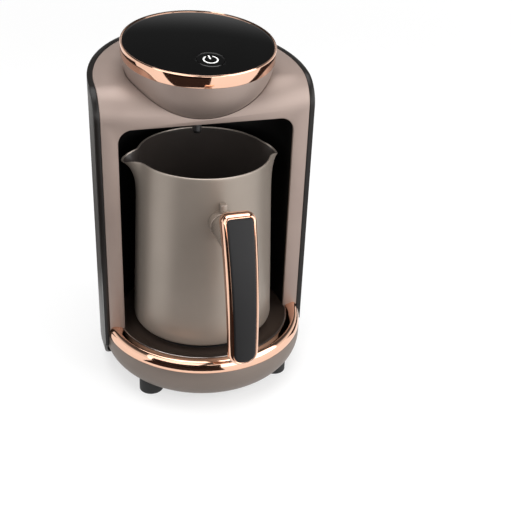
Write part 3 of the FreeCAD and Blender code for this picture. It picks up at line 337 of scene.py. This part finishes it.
def base_ring():
    """Half-round ring, cut off where the front shell stands on it."""
    profile = [(63.6, 0), (63.6, 5.6), (63.8, 6.3), (64.4, 6.8), (65.6, 7.2), (67.2, 7.6),
               (68.6, 8.0), (69.6, 8.2), (70.6, 8.0), (71.6, 7.3), (72.5, 6.0), (73.2, 4.3),
               (73.6, 2.5), (73.7, 0.9), (73.5, 0)]
    mesh = turned(from_foot(profile), 256)
    cut_at = shell_face - pot_axis - RING_GAP * MM
    everything = mesh.verts[:] + mesh.edges[:] + mesh.faces[:]
    kept = bmesh.ops.bisect_plane(mesh, geom=everything, plane_co=(0, cut_at, 0),
                                  plane_no=(0, 1, 0), clear_outer=True)
    rims = [item for item in kept["geom_cut"] if isinstance(item, bmesh.types.BMEdge)]
    bmesh.ops.holes_fill(mesh, edges=rims, sides=0)
    piece("copper_ring", mesh, "base_ring", FLOORWARD)


def pot_dish():
    """Sloped dish with a rounded bead at its outer edge, coloured pale as a painted highlight."""
    profile = [(46.2, 2.6), (53.0, 2.6), (55.0, 2.9), (62.3, 5.4), (62.6, 5.8), (63.0, 6.0),
               (63.4, 5.8), (63.5, 5.4), (63.5, 0), (61.5, 0), (61.5, 2.9), (53.3, 0.6),
               (46.2, 0.6)]
    mesh = turned(from_foot(profile), 192)
    # Faces of the bead take the pale rim finish: a painted highlight
    for face in mesh.faces:
        middle = face.calc_center_median() / MM
        above = middle.z - ring_foot / MM
        face.material_index = int(middle.xy.length > DISH_RIM_RADIUS and above > DISH_RIM_RISE)
    piece("dish", mesh, "pot_dish", FLOORWARD, extra=("dish_rim",))


# Head, drawn on the plane of the glass's edge

CROWN = 2.2
GLASS = 50.9
GLASS_THICKNESS = 3
GLASS_RINGS = 24
BUTTON = 9.2
BUTTON_GAP = 0.3
BUTTON_FORWARD = 30.6
BUTTON_TOP = 0.3
CIRCLE_STEPS = 128


def head_ring():
    """Copper band with a double lip round the glass and a ledge under its edge."""
    profile = [(51.0, -0.1), (51.05, 0.3), (51.3, 0.55), (51.6, 0.6), (51.8, 0.45), (51.9, 0.3),
               (52.1, 0.35), (52.3, 0.15), (52.4, -0.3), (52.4, -7.9), (52.2, -8.2), (50.8, -8.2),
               (50.8, -4.6), (48.5, -4.6), (48.5, -3.1), (51.0, -3.1)]
    piece("copper_band", turned(profile, 256), "head_ring", HEAD)


def crown_height(radius):
    """Height of the domed glass above its own edge, in mm."""
    return CROWN * (1 - (radius / GLASS) ** 2)


def circle(mesh, radius, forward=0):
    made = bmesh.ops.create_circle(mesh, radius=radius * MM, segments=CIRCLE_STEPS,
                                   cap_ends=False,
                                   matrix=Matrix.Translation((0, -forward * MM, 0)))
    return {edge for vert in made["verts"] for edge in vert.link_edges}


def glass_top():
    """Domed disc with the button's hole, drawn as rings that run from the hole to the edge."""
    mesh = bmesh.new()
    loops = circle(mesh, GLASS) | circle(mesh, BUTTON + BUTTON_GAP, BUTTON_FORWARD)
    bmesh.ops.bridge_loops(mesh, edges=list(loops))
    spokes = [edge for edge in mesh.edges if edge not in loops]
    bmesh.ops.subdivide_edges(mesh, edges=spokes, cuts=GLASS_RINGS, use_grid_fill=True)
    for vert in mesh.verts:
        vert.co.z = crown_height(vert.co.xy.length / MM) * MM
    under = bmesh.ops.extrude_face_region(mesh, geom=mesh.faces[:])
    for item in under["geom"]:
        if isinstance(item, bmesh.types.BMVert):
            item.co.z = -GLASS_THICKNESS * MM
    bmesh.ops.recalc_face_normals(mesh, faces=mesh.faces)
    piece("glass", soften(mesh, 0.25, sharp=50), "glass_top", HEAD)


def power_button():
    """Cap whose top follows the crown of the glass, with its flange and stem below."""
    profile = [(radius, BUTTON_TOP) for radius in (0, 3, 6, 8, BUTTON - 0.35)]
    profile += [(BUTTON - 0.1, 0.2), (BUTTON, 0), (BUTTON, -3.4), (BUTTON + 1.2, -3.4),
                (BUTTON + 1.2, -4.4), (2, -4.4), (2, -8), (0, -8)]
    mesh = turned(profile, 96)
    bmesh.ops.translate(mesh, verts=mesh.verts, vec=(0, -BUTTON_FORWARD * MM, 0))
    for vert in mesh.verts:
        if vert.co.z > -1 * MM:
            vert.co.z += (crown_height(vert.co.xy.length / MM) - BUTTON_TOP) * MM
    piece("button", mesh, "power_button", HEAD)


# Pot

POT_HEIGHT = 129.0
POT_BOTTOM = 51.2
POT_TAPER = 4.7
POT_WALL = 1.2
LINING_DEPTH = 0.8
LINING_FLOOR = 1.1
LIP_START = 128.05

# Each spout's direction in degrees and its reach in mm
SPOUTS = ((-4.4, 5.8), (175.6, 11.0))
SPOUT_LINE = math.tan(math.radians(SPOUTS[0][0]))
SPOUT_START = 87.0
SPOUT_GROWTH = 3.8
SPOUT_FRONT, SPOUT_BACK = 12.0, 9.5
SPOUT_PINCH = 0.2
SPOUT_EDGE = 2.5
SPOUT_DROOP = 3.4


def pot_radius(rise):
    return POT_BOTTOM - POT_TAPER * rise / POT_HEIGHT


def spout_share(vert, rise, turn, middle):
    """How far a vertex belongs to a spout, from 0 on the plain wall to 1 at the tip."""
    grown = max((rise - SPOUT_START) / (POT_HEIGHT - SPOUT_START), 0) ** SPOUT_GROWTH
    away = math.radians((turn - middle + 180) % 360 - 180)
    width = SPOUT_FRONT if vert.co.y < SPOUT_LINE * vert.co.x else SPOUT_BACK
    spread = width * (1 - SPOUT_PINCH * grown) / pot_radius(rise)
    return grown * math.exp(-abs(away / spread) ** SPOUT_EDGE)


def draw_spouts(mesh):
    """Pulls the wall out and down into two beaks, each given by its direction and its reach."""
    for vert in mesh.verts:
        rise = vert.co.z / MM
        turn = math.degrees(math.atan2(vert.co.y, vert.co.x))
        for middle, reach in SPOUTS:
            share = spout_share(vert, rise, turn, middle)
            out = vert.co.xy.normalized() * reach * share * MM
            vert.co.x += out.x
            vert.co.y += out.y
            vert.co.z -= SPOUT_DROOP * share ** 2 * MM


def pot_body():
    """Tapered wall with a rounded lip, a lining of its own and two spouts."""
    outside = [(0, 0), (47.9, 0), (49.3, 0.25), (50.3, 0.9), (50.9, 1.8), (51.1, 3)]
    outside += [(pot_radius(rise), rise) for rise in (*range(8, 84, 5), *range(86, 128, 2))]
    lip = [(46.6, 128.2), (46.45, 128.8), (46.0, 129.1), (45.5, 128.9), (45.3, 128.3)]
    inside = [(radius - POT_WALL, rise) for radius, rise in outside[:3:-1]]
    inside += [(49.5, 2.6), (48.6, 1.7), (47.5, 1.3), (0, POT_WALL)]
    mesh = turned(outside + lip + inside, 192)
    # Faces above LIP_START take the paler lip finish, a painted highlight
    for face in mesh.faces:
        middle = face.calc_center_median() / MM
        lined = middle.xy.length < pot_radius(middle.z) - LINING_DEPTH and middle.z > LINING_FLOOR
        face.material_index = 2 if middle.z > LIP_START else int(lined)
    draw_spouts(mesh)
    place = Matrix.Translation((0, pot_axis, plate_top))
    piece("pot", mesh, "pot_body", place, extra=("pot_lining", "pot_lip"))


# Handle, drawn on its own leaning front face: Y runs back from it

HANDLE_LENGTH = 102.6
HANDLE_TOP, HANDLE_CORNER = 11.6, 5.5
HANDLE_END, HANDLE_TIP = 9.7, 8.6
FRAME_SIDE_START, FRAME_SIDE = 4.6, 2.0
BORDER = 2.8
INLAY_GAP = 0.12
INLAY_SIDE = 2.6
BOW = 5.0
BOW_STEPS = 24
STEM_REACH = 3


def bar(inset, front):
    """Flat outline of the handle, narrower towards its lower end, with rounded corners."""
    mesh = bmesh.new()
    top, end, high, low = HANDLE_TOP - inset, HANDLE_END - inset, -inset, inset - HANDLE_LENGTH
    spots = [mesh.verts.new((x * MM, front * MM, z * MM))
             for x, z in ((-top, high), (top, high), (end, low), (-end, low))]
    mesh.faces.new(spots)
    for group, radius in ((spots[:2], HANDLE_CORNER - inset), (spots[2:], HANDLE_TIP - inset)):
        bmesh.ops.bevel(mesh, geom=group, offset=radius * MM, segments=12, profile=0.5,
                        affect="VERTICES", material=-1)
    return mesh


def thicken(mesh, depth):
    """Pushes the flat outline back, and leaves its front face in place."""
    made = bmesh.ops.extrude_face_region(mesh, geom=mesh.faces[:])
    verts = [item for item in made["geom"] if isinstance(item, bmesh.types.BMVert)]
    bmesh.ops.translate(mesh, verts=verts, vec=(0, depth * MM, 0))
    bmesh.ops.recalc_face_normals(mesh, faces=mesh.faces)
    return mesh


def stepped(mesh, face, steps):
    """Draws a face inwards and outwards in steps of mm, so that its rim is round."""
    for inwards, out in steps:
        bmesh.ops.inset_region(mesh, faces=[face], thickness=inwards * MM, depth=out * MM,
                               use_even_offset=True)


def bow(mesh):
    """Bends the handle's length into a shallow arch whose middle stands away from the pot."""
    for step in range(1, BOW_STEPS):
        everything = mesh.verts[:] + mesh.edges[:] + mesh.faces[:]
        bmesh.ops.bisect_plane(mesh, geom=everything, plane_no=(0, 0, 1),
                               plane_co=(0, 0, -HANDLE_LENGTH * step / BOW_STEPS * MM))
    for vert in mesh.verts:
        share = -vert.co.z / MM / HANDLE_LENGTH
        vert.co.y -= BOW * (4 * share * (1 - share) - 0.5) * MM
    return mesh


def handle_frame():
    """Polished frame with round sides and a thin bead round the pocket of the grip."""
    mesh = thicken(bar(0, FRAME_SIDE_START), FRAME_SIDE)
    front, back = end_face(mesh, min), end_face(mesh, max)
    stepped(mesh, back, ((0.1, 1.1), (0.3, 1.1), (0.6, 1.0), (0.9, 0.7), (1.1, 0.4)))
    stepped(mesh, front, ((0.1, 1.5), (0.3, 1.2), (0.5, 0.9), (0.6, 0.55), (0.6, 0.25),
                          (0.25, -0.15), (0.15, 0.35), (0.15, 0.1), (0.13, -0.1), (0.02, -3.1)))
    piece("handle_border", bow(mesh), "handle_frame", HANDLE)


def handle_inlay():
    """Grip insert with a softly domed face."""
    mesh = thicken(bar(BORDER + INLAY_GAP, 0), INLAY_SIDE)
    stepped(mesh, end_face(mesh, min), ((0.05, 0.3), (0.15, 0.2), (0.35, 0.15), (0.8, 0.08)))
    piece("handle_grip", bow(mesh), "handle_inlay", HANDLE)


def handle_stem():
    """Stem whose front end reaches into the arched handle."""
    mesh = copied("handle_stem")
    middle = middle_of("handle_stem").y
    for vert in mesh.verts:
        if vert.co.y < middle:
            vert.co.y -= STEM_REACH * MM
    piece("stem", soften(mesh, 0.3, segments=2), "handle_stem", look="handle_mount")


# Pieces that only get rounded edges: width in mm, segments, and a finish of their own if any
DRESSED = {"pot_boss": (0.6, 3, "handle_mount"), "pot_tab": (0.6, 3, "handle_mount"),
           "front_shell": (0.5, 2, None), "rear_shell": (0.4, 2, None),
           # base_shell takes the taupe lacquer darkened as painted shade
           "trim_band": (0.35, 2, None), "base_shell": (0.4, 2, "taupe_base"),
           "feet": (0.6, 2, None), "niche_liner": (0.3, 2, None), "niche_roof": (0.3, 2, None),
           "head_bowl": (0.4, 2, None), "cord_gland": (0.4, 2, None)}

for draw in (base_ring, pot_dish, head_ring, glass_top, power_button, pot_body, handle_frame,
             handle_inlay, handle_stem):
    draw()
for node, (width, segments, look) in DRESSED.items():
    piece(node + "_dressed", soften(copied(node), width, segments), node, look=look)


# Studio: floor, dark cards, backdrop and lamps

CARD_STEPS = 24
FLOOR_HALF = 6
ROOM_LIGHT = 0.22
LAMP_AIM = Vector((0, 0, 0.12))

# First and last direction in degrees, near and far edge in m, height of the far edge in m
CARDS = {"card_front": (-66, 4, 0.14, 0.5, 0.22),
         "card_left": (-168, -116, 0.16, 0.8, MM),
         "card_right": (86, 165, 0.16, 0.8, MM)}

# Place and width in m, power in W
LAMPS = {"left": ((-1.0, -0.9, 0.85), 1.6, 13.5),
         "right": ((1.1, -0.9, 0.75), 1.3, 16),
         "low": ((0.2, -1.5, 0.35), 0.9, 5),
         "top": ((0.0, 0.1, 1.5), 1.3, 17)}


def dark_card(name, start, end, near, far, high):
    """A black card that lies on the floor in an arc, its far edge turned up, to be mirrored."""
    mesh = bmesh.new()
    verts = [mesh.verts.new(spot) for spot in ((0, -near, MM), (0, -far, MM), (0, -far, high))]
    edges = [mesh.edges.new(verts[:2]), mesh.edges.new(verts[1:])]
    bmesh.ops.rotate(mesh, verts=verts, matrix=Matrix.Rotation(math.radians(start), 3, "Z"))
    bmesh.ops.spin(mesh, geom=verts + edges, axis=(0, 0, 1), steps=CARD_STEPS,
                   angle=math.radians(end - start))
    bmesh.ops.translate(mesh, verts=mesh.verts, vec=(0, pot_axis, 0))
    card = meshed(name, mesh)
    card.data.materials.append(FINISHES["black_card"])
    card.visible_camera = False
    card.visible_diffuse = False
    card.visible_shadow = False


def seen_rays(tree):
    """1 on rays from the camera, from mirrors and through glass, and 0 on rays that give light."""
    rays = add(tree, "LightPath").outputs
    seen = rays["Is Camera Ray"]
    for kind in ("Is Glossy Ray", "Is Transmission Ray"):
        seen = add(tree, "Math", {0: seen, 1: rays[kind]}, operation="MAXIMUM").outputs[0]
    return seen


def paper_floor():
    """White paper whose own glow grows away from the object, to meet the white backdrop."""
    mesh = bmesh.new()
    bmesh.ops.create_grid(mesh, x_segments=1, y_segments=1, size=FLOOR_HALF)
    floor = meshed("floor", mesh)
    paper = bpy.data.materials.new("white_paper")
    tree = blank(paper)
    away = add(tree, "VectorMath", {0: add(tree, "TexCoord").outputs["Object"]},
               operation="LENGTH")
    grown = add(tree, "MapRange", {"Value": away.outputs["Value"], "From Min": 0.5,
                                   "From Max": 2.5, "To Min": 0.6, "To Max": 1.0},
                interpolation_type="SMOOTHSTEP")
    lift = add(tree, "Math", {0: seen_rays(tree), 1: grown.outputs["Result"]},
               operation="MULTIPLY")
    matt = add(tree, "BsdfDiffuse", {"Color": linear("#acacac")})
    glow = add(tree, "Emission", {"Color": linear("#ffffff"), "Strength": lift.outputs[0]})
    both = add(tree, "AddShader", {0: matt.outputs[0], 1: glow.outputs[0]})
    add(tree, "OutputMaterial", {"Surface": both.outputs[0]})
    floor.data.materials.append(paper)


def backdrop():
    """A dim room for light, and for the eye white all round, mirrored under a dim ceiling."""
    world = bpy.data.worlds.new("studio")
    bpy.context.scene.world = world
    tree = blank(world)
    white = linear("#ffffff")
    room = add(tree, "Background", {"Color": white, "Strength": ROOM_LIGHT})
    up = add(tree, "SeparateXYZ", {0: add(tree, "TexCoord").outputs["Generated"]}).outputs["Z"]
    ceiling = add(tree, "MapRange", {"Value": up, "From Min": 0.15, "From Max": 0.5,
                                     "To Min": 1.0, "To Max": 0.07},
                  interpolation_type="SMOOTHSTEP")
    from_camera = add(tree, "LightPath").outputs["Is Camera Ray"]
    mirrored = add(tree, "Math", {0: from_camera, 1: ceiling.outputs["Result"]},
                   operation="MAXIMUM")
    around = add(tree, "Background", {"Color": white, "Strength": mirrored.outputs[0]})
    both = add(tree, "MixShader", {0: seen_rays(tree), 1: room.outputs[0], 2: around.outputs[0]})
    add(tree, "OutputWorld", {"Surface": both.outputs[0]})


def lamp(name, spot, width, power):
    """A square lamp that looks at the middle of the pot's axis."""
    data = bpy.data.lights.new(name, "AREA")
    data.size = width
    data.energy = power
    aim = FLOORWARD @ LAMP_AIM - Vector(spot)
    turn = aim.to_track_quat("-Z", "Y").to_matrix().to_4x4()
    link(name, data).matrix_world = Matrix.Translation(spot) @ turn


for name, card in CARDS.items():
    dark_card(name, *card)
paper_floor()
backdrop()
for name, settings in LAMPS.items():
    lamp(name, *settings)
photo_camera()
bpy.context.scene.view_settings.view_transform = "Standard"
